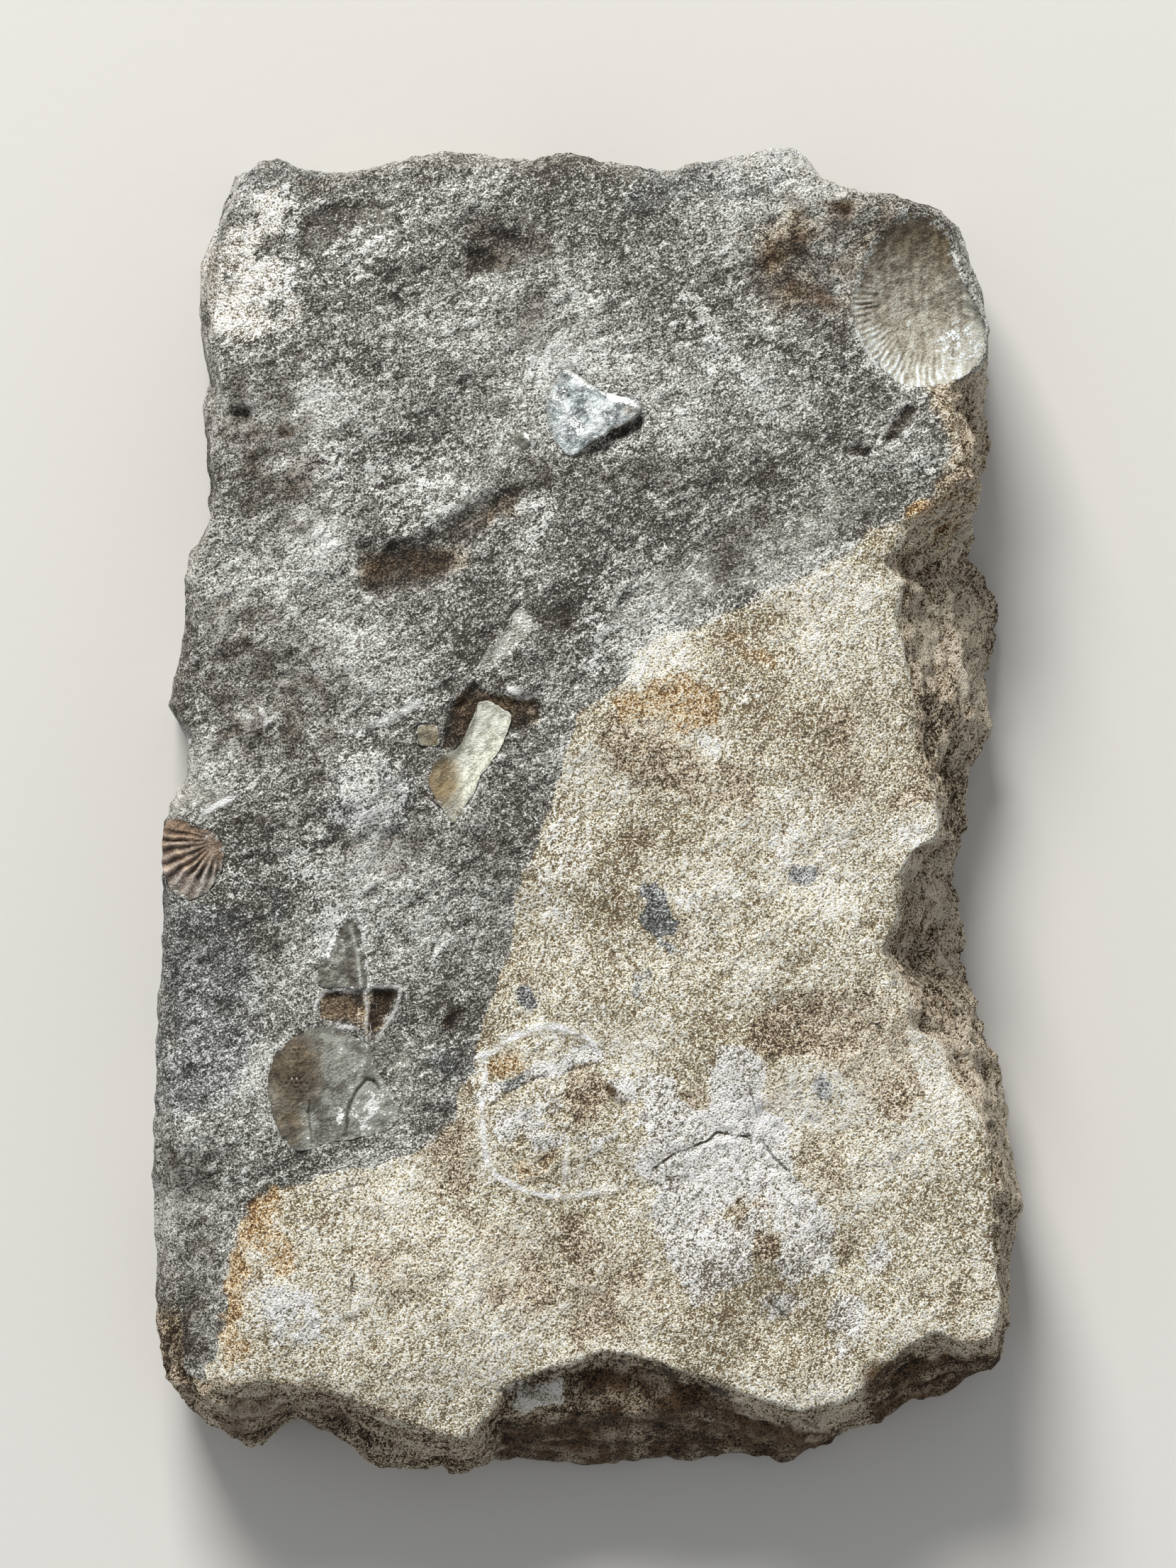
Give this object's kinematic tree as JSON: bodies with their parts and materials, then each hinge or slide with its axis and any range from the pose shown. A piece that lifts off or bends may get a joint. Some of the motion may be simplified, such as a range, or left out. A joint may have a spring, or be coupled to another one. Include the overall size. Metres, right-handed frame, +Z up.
{
  "type": "fossil slab",
  "caption": "Rough rectangular slab of grey and tan rock with fossil shells and trilobite pieces set in its upper face; lies flat on its underside.",
  "frame": {"origin": "centre of the bounding box, on the flat resting face", "axes": "+X across the slab, +Y along it towards the end with the striped valve, +Z up out of the fossil face"},
  "size_m": [0.1216, 0.1869, 0.0314],
  "materials": {
    "rock": "rough broken limestone, grey at the back and tan at the front",
    "striped_shell": "smooth fossil shell with fine radial stripes",
    "ribbed_shell": "ribbed fossil shell",
    "skeleton": "smooth dark fossil skeleton",
    "pale_skeleton": "worn fossil skeleton with white specks",
    "pale_shell": "smooth pale fossil shell"
  },
  "bodies": {
    "root": {"matrix_slab": "rock", "striate_valve": "striped_shell", "ribbed_valve": "ribbed_shell", "trilobite_head": "skeleton", "head_strip": "skeleton", "trilobite_tail": "pale_skeleton", "long_shell_chip": "pale_shell", "small_shell_chip": "pale_shell"}
  },
  "joints": []
}
